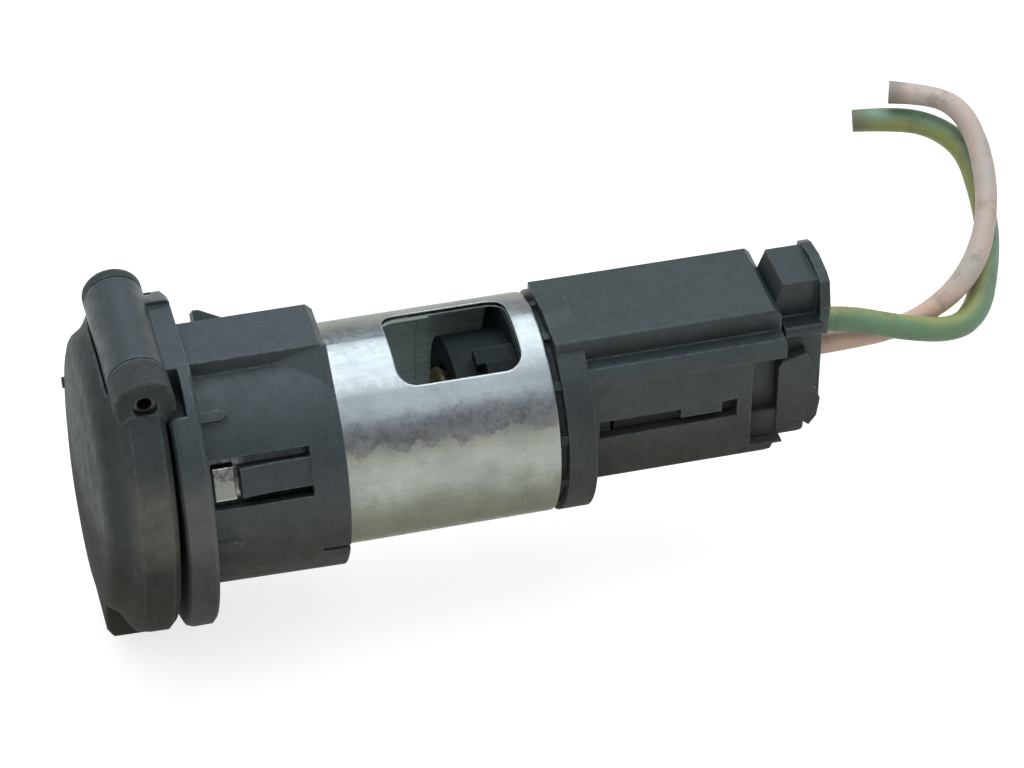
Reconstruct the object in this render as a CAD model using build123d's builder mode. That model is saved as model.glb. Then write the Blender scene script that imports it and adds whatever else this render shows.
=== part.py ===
"""Car 12 V power socket with a sprung lid, a steel barrel, a rear connector housing and its harness plug.

Millimetres. The origin is the centre of the flange's rear face, where the socket sits against its panel.
+Y runs rearwards along the barrel, +Z points up to the lid's hinge, and +X is to the right from the front.
"""
import os
from math import cos, pi, radians, sin, sqrt, tan

from build123d import *

# Steel barrel
bore_radius = 10.55
barrel_wall = 0.95
barrel_end = 36.65
barrel_edge_round = 0.4
end_hole_radius = 3.4
insulator_seat_depth = 10.25
insulator_seat_relief = 0.3
window_length = 13.0
window_width = 10.35
window_corner = 2.0
window_middle = 27.5
window_angle = 6.5

# Collar
flange_radius = 17.18
flange_thickness = 3.0
flange_front_round = 0.75
flange_rear_round = 0.35
flange_flat_height = 15.8
flange_flat_left = -5.2
sleeve_radius = 13.2
sleeve_flare = 0.25
sleeve_length = 14.15
mouth_lip = 0.8
mouth_clearance = 0.3
barrel_fit = 0.05
catch_angle = 65.2
catch_window_start = 0.55
catch_window_length = 10.05
catch_window_width = 5.2
tongue_length = 7.2
tongue_width = 3.0
tongue_thickness = 1.25
tongue_inset = 0.1
tongue_barb = 0.55
tongue_barb_length = 3.5
lug_length = 2.4
lug_width = 3.6
lug_height = 1.4
lug_gap = 0.4
key_half_width = 3.4
key_height = 14.5
key_corner = 0.7
ramp_length = 6.0
ramp_angle = 33.0
barb_angle = -44.0
barb_height = 1.4
barb_width = 3.0
barb_front = 2.8
barb_crest = 0.6
barb_foot = 6.2
rib_height = 0.7
low_rib_height = 0.3
rib_width = 1.1
rib_length = 3.1
rib_point = 0.7
notch_width = 0.7
notch_depth = 2.85
notch_angle = 109.6

# Hinge
hinge_reach = 2.2
hinge_height = 14.85
knuckle_radius = 3.07
knuckle_left = -8.2
knuckle_right = 5.3
ear_gap = 0.2
ear_left_end = -9.6
ear_right_end = 9.6
ear_end_gap = 0.8
ear_clearance = 0.25
ear_pocket_back = -1.25
ear_pocket_low = 12.3
ear_pocket_high = 16.4
knuckle_clearance = 0.18
pin_radius = 1.25
pin_bore = 0.75
pin_clearance = 0.05
pin_recess = 0.7
spring_pocket_radius = 2.3
spring_pocket_length = 11.0
ear_pocket_depth = 1.2
spring_wire = 0.35
spring_coil_radius = 1.75
spring_turns = 8
spring_leg = 1.9
spring_leg_clearance = 0.08

# Lid, drawn shut and then opened by the small angle at which it rests
lid_rest_angle = 1.7
lid_gap = 0.3
lid_inset = 0.18
lid_rim_round = 0.7
lid_shoulder_reach = 3.7
lid_shoulder_steps = [(-1.2, 0.0), (0.0, 0.2), (0.6, 0.9), (1.1, 1.8), (1.6, 2.4)]
lid_edge_reach = 6.8
lid_edge_inset = 4.3
lid_edge_steps = [(-0.6, -1.3), (-0.25, -0.8), (0.0, 0.0)]
lid_crown_steps = [(0.4, 3.7), (0.7, 7.2)]
lid_crown_height = 0.9
lid_wall = 1.5
centring_ring_radius = 9.8
centring_ring_wall = 1.2
centring_ring_reach = 1.0
thumb_tab_half_width = 4.8
thumb_tab_reach = 2.1
thumb_tab_rear_gap = 1.1
thumb_tab_rear_slope = 1.2
thumb_tab_flat = 2.6
thumb_tab_front_slope = 1.1
thumb_tab_front_drop = 0.3
thumb_tab_corner = 1.2
gate_nub_radius = 0.6
gate_nub_height = 0.25

# Inner insulator and centre contact
insulator_boss_radius = 8.2
insulator_boss_front = 27.5
insulator_flange = 2.0
insulator_fit = 0.05
long_pad = 5.1
long_pad_width = 2.0
long_pad_height = 1.4
short_pad = 4.2
short_pad_width = 3.0
short_pad_height = 1.7
pad_root = 0.5
pad_back_gap = 1.0
contact_pocket_radius = 5.2
contact_pocket_depth = 1.0
contact_sheet = 0.4
contact_reach = 1.9
rivet_radius = 1.5
rivet_head_radius = 2.4
rivet_head_height = 0.6
rivet_fit = 0.05
washer_radius = 4.5
rear_gap = 0.7

# Blades
blade_width = 4.8
blade_thickness = 0.8
blade_reach = 15.35
positive_height = 1.4
ground_height = 5.0
ground_foot_top = 9.2
ground_rivet_height = 7.4
ground_rivet_radius = 1.0
ground_rivet_head_radius = 1.7
ground_rivet_head_height = 0.7

# Rear connector housing
housing_disc_radius = 11.6
housing_disc_thickness = 2.95
housing_length = 23.95
housing_top = 11.3
housing_top_half_width = 5.7
housing_bottom = -5.9
housing_half_width = 7.7
housing_top_round = 0.7
ridge_half_width = 8.0
ridge_low = 6.9
ridge_high = 8.8
spacer_rib_width = 0.9
spacer_rib_reach = 10.9
spacer_rib_count = 12
spigot_radius = 10.2
front_recess_radius = 9.8
front_recess_depth = 2.3
bridge_set_back = 3.85
bridge_thickness = 1.8
side_slot_low = -0.15
side_slot_high = 2.05
side_slot_set_back = 4.15
side_slot_step_reach = 12.85
side_slot_window_reach = 17.25
side_slot_reach = 18.9
side_slot_depth = 1.3
cheek_length = 3.5
cheek_low = -4.3
cheek_high = 6.6

# Harness plug
plug_half_width = 6.3
plug_low = -4.5
plug_high = 7.4
plug_key_half_width = 4.5
plug_key_high = 10.1
plug_nose_set_back = 6.05
plug_overhang = 4.7
plug_clearance = 0.2
rear_body_half_width = 5.1
rear_body_low = -1.8
shelf_half_width = 5.5
shelf_low = 6.9
shelf_high = 8.3
shelf_gap = 0.6
latch_half_width = 3.15
latch_high = 12.5
latch_ramp_length = 0.9
top_plate_set_back = 4.6
top_plate_thickness = 1.1
top_plate_half = [(0, 13.35), (2.7, 13.0), (3.8, 12.5), (4.45, 9.9), (3.9, 5.6), (0, 5.6)]
lock_half_width = 6.5
lock_side_steps = [
    (-0.3, -3.9),
    (-0.3, 4.4),
    (0.1, 5.1),
    (2.8, 5.7),
    (3.8, 3.0),
    (3.7, 1.1),
    (4.0, 0.7),
    (4.4, -0.5),
    (4.1, -2.7),
    (3.3, -3.8),
    (2.1, -2.8),
]

# Terminals
terminal_width = 5.6
terminal_height = 2.6
terminal_set_back = 7.65
terminal_length = 8.5
terminal_clearance = 0.1
crimp_radius = 1.1
wire_start = 62.0

# Cut wires of the harness, as the photograph shows them
green_diameter = 2.6
pink_diameter = 2.3
wire_hole_clearance = 0.15
green_route = [
    (0.0, wire_start, ground_height),
    (0.0, 69.0, 5.0),
    (1.7, 76.2, 3.1),
    (1.8, 82.2, 1.7),
    (-0.2, 86.2, 1.8),
    (-3.7, 88.3, 3.8),
    (-7.3, 89.7, 6.3),
    (-11.4, 89.4, 9.5),
    (-15.3, 88.6, 12.6),
    (-18.3, 85.5, 14.2),
    (-20.0, 81.5, 14.4),
    (-21.0, 77.6, 14.1),
]
pink_route = [
    (0.0, wire_start, positive_height),
    (0.0, 69.0, 1.4),
    (-0.7, 76.0, 1.1),
    (-1.0, 79.9, 2.4),
    (-1.4, 83.2, 4.6),
    (-3.2, 86.0, 7.0),
    (-6.2, 87.9, 9.6),
    (-9.6, 88.9, 12.1),
    (-13.3, 89.1, 14.7),
    (-16.6, 88.1, 16.9),
    (-18.8, 85.4, 17.7),
    (-20.4, 81.3, 17.6),
]

# Sizes that follow from the ones above
barrel_radius = bore_radius + barrel_wall
barrel_front = mouth_lip - flange_thickness
insulator_seat_radius = bore_radius + insulator_seat_relief
insulator_seat_front = barrel_end - insulator_seat_depth
collar_bore = barrel_radius + barrel_fit
mouth_radius = bore_radius + mouth_clearance
hinge_y = -flange_thickness - hinge_reach
lid_rear = -flange_thickness - lid_gap
lid_radius = flange_radius - lid_inset
lid_shoulder_front = lid_rear - lid_shoulder_reach
lid_edge_front = lid_rear - lid_edge_reach
lid_edge_radius = lid_radius - lid_edge_inset
thumb_tab_rear = lid_rear - thumb_tab_rear_gap
thumb_tab_front = thumb_tab_rear - thumb_tab_rear_slope - thumb_tab_flat - thumb_tab_front_slope
ear_left_start = knuckle_left - ear_gap
ear_right_start = knuckle_right + ear_gap
pin_hole_radius = pin_radius + pin_clearance
barrel_floor = barrel_end - barrel_wall
contact_base = insulator_boss_front + contact_pocket_depth
foot_back = barrel_end + rear_gap + blade_thickness
blade_tip = barrel_end + blade_reach
housing_front = barrel_end + rear_gap
housing_end = housing_front + housing_length
housing_disc_back = housing_front + housing_disc_thickness
bridge_front = housing_front + bridge_set_back
bridge_back = bridge_front + bridge_thickness
side_slot_front = housing_front + side_slot_set_back
side_slot_step = housing_front + side_slot_step_reach
side_slot_window = housing_front + side_slot_window_reach
side_slot_end = housing_front + side_slot_reach
cheek_end = housing_end - cheek_length
plug_nose = housing_front + plug_nose_set_back
plug_rear = housing_end + plug_overhang
shelf_front = housing_end + shelf_gap
latch_ramp_top = housing_end + latch_ramp_length
top_plate_front = housing_end + top_plate_set_back
top_plate_back = top_plate_front + top_plate_thickness
terminal_front = housing_front + terminal_set_back
terminal_back = terminal_front + terminal_length
tongue_root = catch_window_start + catch_window_length
tongue_tip = tongue_root - tongue_length
tongue_outside = sleeve_radius - tongue_inset


def across(y):
    """Plane across the socket's axis at distance y behind the panel, with X to the right and Z up."""
    return Plane.XZ.offset(-y)


def round_the_barrel(angle, radius):
    """Plane that touches a circle round the axis, at an angle from +Z towards +X. Its own x runs along +Y."""
    outwards = Vector(sin(radians(angle)), 0, cos(radians(angle)))
    return Plane(origin=outwards * radius, x_dir=(0, 1, 0), z_dir=outwards)


def along_hinge(x):
    """Plane across the hinge's axis at distance x, with Y and Z as its own x and y."""
    return Plane(origin=(x, hinge_y, hinge_height), x_dir=(0, 1, 0), z_dir=(1, 0, 0))


def through_axis(angle):
    """Plane through the axis, at an angle from +Z towards +X. Its own x runs along +Y and its y outwards."""
    return Plane(origin=(0, 0, 0), x_dir=(0, 1, 0), z_dir=-round_the_barrel(angle, 1).y_dir)


hinge_axis = Axis((0, hinge_y, hinge_height), (1, 0, 0))

# Lid spring: a torsion coil round the pin, with one leg let into the knuckle and one into the lid's ear
coil_start = knuckle_right - spring_pocket_length + spring_wire
coil_end = ear_right_start + ear_pocket_depth - spring_wire
with BuildPart() as hinge_spring:
    with BuildLine() as spring_line:
        coil = Helix(
            pitch=(coil_end - coil_start) / spring_turns,
            height=coil_end - coil_start,
            radius=spring_coil_radius,
            center=(coil_start, hinge_y, hinge_height),
            direction=(1, 0, 0),
        )
        knuckle_leg = Line(coil @ 0 - (coil % 0) * spring_leg, coil @ 0)
        ear_leg = Line(coil @ 1, coil @ 1 + (coil % 1) * spring_leg)
    with BuildSketch(Plane(origin=knuckle_leg @ 0, z_dir=knuckle_leg % 0)):
        RegularPolygon(spring_wire / 2, 6)
    sweep(path=spring_line.wire())
knuckle_leg_plane = Plane(origin=knuckle_leg @ 1, x_dir=(1, 0, 0), z_dir=-(knuckle_leg % 0))
ear_leg_plane = Plane(origin=ear_leg @ 0, x_dir=(1, 0, 0), z_dir=ear_leg % 0)
leg_slot = spring_wire + 2 * spring_leg_clearance

# Barrel: a deep-drawn steel cup with a window in its side and two pressed lugs that hold the collar
lug_start = tongue_root - tongue_length - lug_gap - lug_length
with BuildPart() as socket_barrel:
    with BuildSketch(Plane.YZ):
        with BuildLine():
            Polyline(
                (barrel_front, bore_radius),
                (barrel_front, barrel_radius),
                (barrel_end, barrel_radius),
                (barrel_end, end_hole_radius),
                (barrel_floor, end_hole_radius),
                (barrel_floor, insulator_seat_radius),
                (insulator_seat_front, insulator_seat_radius),
                (insulator_seat_front, bore_radius),
                close=True,
            )
        make_face()
    revolve(axis=Axis.Y)
    end_edges = socket_barrel.edges().filter_by(GeomType.CIRCLE).group_by(Axis.Y)[-1]
    fillet(end_edges.sort_by(SortBy.RADIUS)[-1], radius=barrel_edge_round)
    with BuildSketch(round_the_barrel(window_angle, bore_radius / 2)):
        with Locations((window_middle, 0)):
            RectangleRounded(window_length, window_width, window_corner)
    extrude(amount=barrel_radius, mode=Mode.SUBTRACT)
    for angle in (catch_angle, catch_angle + 180):
        with BuildSketch(round_the_barrel(angle, barrel_radius - barrel_wall / 2)):
            with Locations((lug_start + lug_length / 2, 0)):
                Rectangle(lug_length, lug_width)
        extrude(amount=barrel_wall / 2 + lug_height, taper=4)
    with BuildSketch(across(barrel_end)):
        with Locations((0, ground_rivet_height)):
            Circle(ground_rivet_radius + rivet_fit)
    extrude(amount=barrel_wall, mode=Mode.SUBTRACT)

# Collar: flange, slightly flared sleeve, hinge knuckle, key, catches and grip ribs, moulded in one
with BuildPart() as collar:
    with BuildSketch(Plane.YZ):
        with BuildLine():
            Polyline(
                (-flange_thickness, mouth_radius),
                (-flange_thickness, flange_radius - flange_front_round),
                (-flange_thickness + 0.3 * flange_front_round, flange_radius - 0.3 * flange_front_round),
                (-flange_thickness + flange_front_round, flange_radius),
                (-flange_rear_round, flange_radius),
                (0, flange_radius - flange_rear_round),
                (0, sleeve_radius),
                (sleeve_length, sleeve_radius + sleeve_flare),
                (sleeve_length, collar_bore),
                (barrel_front, collar_bore),
                (barrel_front, mouth_radius),
                close=True,
            )
        make_face()
    revolve(axis=Axis.Y)
    with BuildSketch(Plane.YZ.offset(flange_flat_left)):
        with BuildLine():
            Polyline(
                (-flange_thickness, flange_flat_height),
                (-flange_thickness, flange_radius),
                (0, flange_radius),
                (0, flange_flat_height),
                close=True,
            )
        make_face()
    extrude(amount=flange_radius, mode=Mode.SUBTRACT)

    # Key along the top of the sleeve, and the ramp that rises to it at the rear of its right side
    with BuildSketch(Plane.YZ):
        with BuildLine():
            Polyline(
                (-flange_thickness / 2, collar_bore),
                (-flange_thickness / 2, key_height),
                (sleeve_length - key_corner, key_height),
                (sleeve_length, key_height - key_corner),
                (sleeve_length, collar_bore),
                close=True,
            )
        make_face()
    extrude(amount=key_half_width, both=True)
    ramp_foot = Vector(key_half_width, sleeve_length - ramp_length, sqrt(sleeve_radius**2 - key_half_width**2))
    ramp_top = Vector(key_half_width, sleeve_length, key_height)
    ramp_side = round_the_barrel(ramp_angle, sleeve_radius + sleeve_flare).origin + Vector(0, sleeve_length, 0)
    ramp_normal = (ramp_side - ramp_foot).cross(ramp_top - ramp_foot)
    ramp_plane = Plane(origin=ramp_foot, x_dir=ramp_side - ramp_foot, z_dir=ramp_normal)
    with BuildSketch(ramp_plane):
        with BuildLine():
            ramp_corners = [ramp_plane.to_local_coords(corner) for corner in (ramp_foot, ramp_side, ramp_top)]
            Polyline(*ramp_corners, close=True)
        make_face()
    extrude(amount=2.0, dir=(-0.5, 0, -0.85))
    with BuildSketch(across(sleeve_length)):
        Circle(collar_bore)
    extrude(amount=sleeve_length + flange_thickness - mouth_lip, mode=Mode.SUBTRACT)

    # Snap barb behind the flange, and the short grip ribs beside the catches
    barb_root = (collar_bore + sleeve_radius) / 2
    with BuildSketch(through_axis(barb_angle)):
        with BuildLine():
            Polyline(
                (barb_front, barb_root),
                (barb_front, sleeve_radius + barb_height),
                (barb_front + barb_crest, sleeve_radius + barb_height),
                (barb_foot, sleeve_radius),
                (barb_foot, barb_root),
                close=True,
            )
        make_face()
    extrude(amount=barb_width / 2, both=True)
    for angle, height in ((catch_angle - 29.7, rib_height), (catch_angle + 30.8, low_rib_height)):
        with BuildSketch(round_the_barrel(angle, barb_root)):
            with BuildLine():
                Polyline(
                    (-rib_point, -rib_width / 2),
                    (rib_length - rib_point, -rib_width / 2),
                    (rib_length, 0),
                    (rib_length - rib_point, rib_width / 2),
                    (-rib_point, rib_width / 2),
                    close=True,
                )
            make_face()
        extrude(amount=sleeve_radius + height - barb_root)
    with BuildSketch(round_the_barrel(notch_angle, collar_bore - 0.4)):
        with Locations((sleeve_length - notch_depth / 2, 0)):
            Rectangle(notch_depth, notch_width)
    extrude(amount=sleeve_radius, mode=Mode.SUBTRACT)

    # Two catches: a window in the sleeve with a barbed spring tongue that drops behind the barrel's lug
    for angle in (catch_angle, catch_angle + 180):
        with BuildSketch(round_the_barrel(angle, collar_bore - 0.6)):
            with Locations((catch_window_start + catch_window_length / 2, 0)):
                Rectangle(catch_window_length, catch_window_width)
        extrude(amount=sleeve_radius, mode=Mode.SUBTRACT)
        with BuildSketch(through_axis(angle)):
            with BuildLine():
                Polyline(
                    (tongue_root + tongue_inset, tongue_outside - tongue_thickness),
                    (tongue_root + tongue_inset, tongue_outside),
                    (tongue_tip + tongue_barb_length, tongue_outside),
                    (tongue_tip, tongue_outside + tongue_barb),
                    (tongue_tip, tongue_outside - tongue_thickness),
                    close=True,
                )
            make_face()
        extrude(amount=tongue_width / 2, both=True)

    # Hinge: relief and pockets for the lid's ears, then the knuckle with its spring pocket and pin hole
    for start, end in (
        (ear_left_end - ear_end_gap, knuckle_left),
        (knuckle_right, ear_right_end + ear_end_gap),
    ):
        with BuildSketch(along_hinge(start)):
            Circle(knuckle_radius + ear_clearance)
        extrude(amount=end - start, mode=Mode.SUBTRACT)
        with BuildSketch(across(ear_pocket_back)):
            with Locations(((start + end) / 2, (ear_pocket_low + ear_pocket_high) / 2)):
                Rectangle(end - start, ear_pocket_high - ear_pocket_low)
        extrude(amount=ear_pocket_back + flange_thickness, mode=Mode.SUBTRACT)
    with BuildSketch(along_hinge(knuckle_left)):
        Circle(knuckle_radius)
    extrude(amount=knuckle_right - knuckle_left)
    with BuildSketch(along_hinge(knuckle_right)):
        Circle(spring_pocket_radius)
    extrude(amount=-spring_pocket_length, mode=Mode.SUBTRACT)
    with BuildSketch(along_hinge(knuckle_left)):
        Circle(pin_hole_radius)
    extrude(amount=knuckle_right - knuckle_left, mode=Mode.SUBTRACT)
    with BuildSketch(knuckle_leg_plane):
        Rectangle(leg_slot, leg_slot)
    extrude(amount=spring_leg + spring_leg_clearance, mode=Mode.SUBTRACT)

# Lid hollow: the space inside the cap, less the trough wall that runs round the knuckle
with BuildPart() as lid_hollow:
    with BuildSketch(Plane.YZ):
        with BuildLine():
            Polyline(
                (lid_rear, 0),
                (lid_rear, lid_radius - lid_wall),
                (lid_shoulder_front, lid_radius - lid_wall),
                (lid_edge_front + lid_wall, lid_edge_radius - lid_wall / 2),
                (lid_edge_front + lid_wall, 0),
                close=True,
            )
        make_face()
    revolve(axis=Axis.Y)
    with BuildSketch(along_hinge(ear_left_end)):
        Circle(knuckle_radius + knuckle_clearance + lid_wall * 0.8)
    extrude(amount=ear_right_end - ear_left_end, mode=Mode.SUBTRACT)

# Thumb tab under the lid's lower edge
with BuildPart() as thumb_tab:
    with BuildSketch(Plane.YZ):
        with BuildLine():
            Polyline(
                (thumb_tab_rear, -(lid_radius - lid_wall / 2)),
                (thumb_tab_rear, -lid_radius),
                (thumb_tab_rear - thumb_tab_rear_slope, -(lid_radius + thumb_tab_reach)),
                (thumb_tab_front + thumb_tab_front_slope, -(lid_radius + thumb_tab_reach)),
                (thumb_tab_front, -(lid_radius + thumb_tab_front_drop)),
                (thumb_tab_front, -lid_edge_radius),
                (lid_edge_front + lid_wall, -lid_edge_radius),
                (lid_shoulder_front, -(lid_radius - lid_wall / 2)),
                close=True,
            )
        make_face()
    extrude(amount=thumb_tab_half_width, both=True)
    lowest_edges = thumb_tab.edges().filter_by(GeomType.LINE).filter_by(Axis.Y).group_by(Axis.Z)[0]
    fillet(lowest_edges, radius=thumb_tab_corner)

# Lid: a shallow domed cap with a stepped front edge, two hinge ears, a centring ring and a thumb tab
with BuildPart() as lid_shut:
    with BuildSketch(Plane.YZ):
        with BuildLine():
            Polyline(
                (lid_rear, 0),
                (lid_rear, lid_radius - lid_rim_round),
                (lid_rear - lid_rim_round, lid_radius),
                *[(lid_shoulder_front - reach, lid_radius - inset) for reach, inset in lid_shoulder_steps],
                *[(lid_edge_front - reach, lid_edge_radius - inset) for reach, inset in lid_edge_steps],
                *[(lid_edge_front - reach, lid_edge_radius - inset) for reach, inset in lid_crown_steps],
                (lid_edge_front - lid_crown_height, 0),
                close=True,
            )
        make_face()
    revolve(axis=Axis.Y)
    add(lid_hollow.part, mode=Mode.SUBTRACT)
    with BuildSketch(along_hinge(ear_left_end)):
        Circle(knuckle_radius)
    extrude(amount=ear_left_start - ear_left_end)
    with BuildSketch(along_hinge(ear_right_start)):
        Circle(knuckle_radius)
    extrude(amount=ear_right_end - ear_right_start)
    with BuildSketch(along_hinge(ear_left_start)):
        Circle(knuckle_radius + knuckle_clearance)
    extrude(amount=ear_right_start - ear_left_start, mode=Mode.SUBTRACT)
    with BuildSketch(along_hinge(ear_right_start)):
        Circle(spring_pocket_radius)
    extrude(amount=ear_pocket_depth, mode=Mode.SUBTRACT)
    with BuildSketch(ear_leg_plane):
        Rectangle(leg_slot, leg_slot)
    extrude(amount=spring_leg + spring_leg_clearance, mode=Mode.SUBTRACT)
    with BuildSketch(along_hinge(ear_left_end)):
        Circle(pin_radius)
    extrude(amount=ear_right_end - ear_left_end, mode=Mode.SUBTRACT)
    with BuildSketch(across(centring_ring_reach - flange_thickness)):
        Circle(centring_ring_radius)
        Circle(centring_ring_radius - centring_ring_wall, mode=Mode.SUBTRACT)
    extrude(amount=centring_ring_reach - flange_thickness - lid_edge_front - lid_wall / 2)
    add(thumb_tab.part)
    with BuildSketch(across(lid_edge_front + 0.3)):
        with Locations((-lid_edge_radius + 0.3, 2.1)):
            Circle(gate_nub_radius)
    extrude(amount=0.3 + gate_nub_height)
lid = lid_shut.part.rotate(hinge_axis, -lid_rest_angle)

# Hinge pin: a rolled steel tube pressed through the ears
with BuildPart() as hinge_pin:
    with BuildSketch(along_hinge(ear_left_end + pin_recess / 2)):
        Circle(pin_radius)
        Circle(pin_bore, mode=Mode.SUBTRACT)
    extrude(amount=ear_right_end - ear_left_end - 1.5 * pin_recess)

# Inner insulator: moulded block on the barrel's floor, with guide pads seen through the window
with BuildPart() as inner_insulator:
    with BuildSketch(Plane.YZ):
        with BuildLine():
            Polyline(
                (insulator_boss_front, contact_pocket_radius),
                (insulator_boss_front, insulator_boss_radius),
                (barrel_floor - insulator_flange, insulator_boss_radius),
                (barrel_floor - insulator_flange, insulator_seat_radius - insulator_fit),
                (barrel_floor, insulator_seat_radius - insulator_fit),
                (barrel_floor, end_hole_radius - insulator_fit),
                (barrel_end, end_hole_radius - insulator_fit),
                (barrel_end, rivet_radius + rivet_fit),
                (contact_base, rivet_radius + rivet_fit),
                (contact_base, contact_pocket_radius),
                close=True,
            )
        make_face()
    revolve(axis=Axis.Y)
    for angle, length, width, height in (
        (window_angle + 10, long_pad, long_pad_width, long_pad_height),
        (window_angle + 25, short_pad, short_pad_width, short_pad_height),
        (window_angle + 190, long_pad, long_pad_width, long_pad_height),
        (window_angle + 205, short_pad, short_pad_width, short_pad_height),
    ):
        with BuildSketch(round_the_barrel(angle, insulator_boss_radius - pad_root)):
            with Locations((barrel_floor - pad_back_gap - length / 2, 0)):
                Rectangle(length, width)
        extrude(amount=height + pad_root)
    with BuildSketch(across(barrel_floor)):
        with Locations((0, ground_rivet_height)):
            Circle(ground_rivet_head_radius + 0.2)
    extrude(amount=ground_rivet_head_height + 0.1, mode=Mode.SUBTRACT)

# Centre contact: a small dished spring plate riveted into the insulator's pocket
with BuildPart() as centre_contact:
    with BuildSketch(Plane.YZ):
        with BuildLine():
            Polyline(
                (contact_base, rivet_radius + rivet_fit),
                (contact_base, contact_pocket_radius - 1.2),
                (contact_base - contact_reach + contact_sheet, contact_pocket_radius - 0.1),
                (contact_base - contact_reach, contact_pocket_radius - 0.3),
                (contact_base - contact_sheet, contact_pocket_radius - 1.7),
                (contact_base - contact_sheet, rivet_radius + rivet_fit),
                close=True,
            )
        make_face()
    revolve(axis=Axis.Y)

# Centre rivet: clamps the contact, the insulator, the washer and the positive blade together
rivet_front_seat = contact_base - contact_sheet
with BuildPart() as centre_rivet:
    with BuildSketch(Plane.YZ):
        with BuildLine():
            Polyline(
                (rivet_front_seat - rivet_head_height, 0),
                (rivet_front_seat - 0.75 * rivet_head_height, 0.6 * rivet_head_radius),
                (rivet_front_seat, rivet_head_radius),
                (rivet_front_seat, rivet_radius),
                (foot_back, rivet_radius),
                (foot_back, rivet_head_radius),
                (foot_back + rivet_head_height, 0.85 * rivet_head_radius),
                (foot_back + rivet_head_height, 0),
                close=True,
            )
        make_face()
    revolve(axis=Axis.Y)

# Insulating washer between the barrel's end and the positive blade
with BuildPart() as insulating_washer:
    with BuildSketch(across(barrel_end + rear_gap)):
        Circle(washer_radius)
        Circle(rivet_radius + rivet_fit, mode=Mode.SUBTRACT)
    extrude(amount=rear_gap)

# Positive blade: riveted foot, a joggle behind the rivet and a flat blade in the housing
foot_middle = barrel_end + rear_gap + blade_thickness / 2
joggle_low = -(rivet_head_radius + 1.0)
with BuildPart() as positive_blade:
    with BuildSketch(Plane.YZ):
        with BuildLine():
            foot_line = Polyline(
                (foot_middle, rivet_head_radius + 0.5),
                (foot_middle, joggle_low),
                (foot_back + rivet_head_height + 0.6, joggle_low),
                (bridge_front - 0.8, positive_height),
                (blade_tip, positive_height),
            )
        trace(foot_line, line_width=blade_thickness)
    extrude(amount=blade_width / 2, both=True)
    with BuildSketch(across(foot_back)):
        Circle(rivet_radius + rivet_fit)
    extrude(amount=blade_thickness, mode=Mode.SUBTRACT)

# Ground blade: its foot is riveted to the barrel's end
ground_foot_middle = barrel_end + blade_thickness / 2
with BuildPart() as ground_blade:
    with BuildSketch(Plane.YZ):
        with BuildLine():
            ground_line = Polyline(
                (ground_foot_middle, ground_foot_top),
                (ground_foot_middle, ground_height),
                (blade_tip, ground_height),
            )
        trace(ground_line, line_width=blade_thickness)
    extrude(amount=blade_width / 2, both=True)
    with BuildSketch(across(barrel_end + blade_thickness)):
        with Locations((0, ground_rivet_height)):
            Circle(ground_rivet_radius + rivet_fit)
    extrude(amount=blade_thickness, mode=Mode.SUBTRACT)

# Ground rivet through the barrel's end and the blade's foot
with BuildPart() as ground_rivet:
    with BuildSketch(across(barrel_end + blade_thickness)):
        with Locations((0, ground_rivet_height)):
            Circle(ground_rivet_radius)
    extrude(amount=blade_thickness + barrel_wall)
    with BuildSketch(across(barrel_floor)):
        with Locations((0, ground_rivet_height)):
            Circle(ground_rivet_head_radius)
    extrude(amount=ground_rivet_head_height)
    with BuildSketch(across(barrel_end + blade_thickness)):
        with Locations((0, ground_rivet_height)):
            Circle(ground_rivet_head_radius)
    extrude(amount=-ground_rivet_head_height, taper=15)

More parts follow.
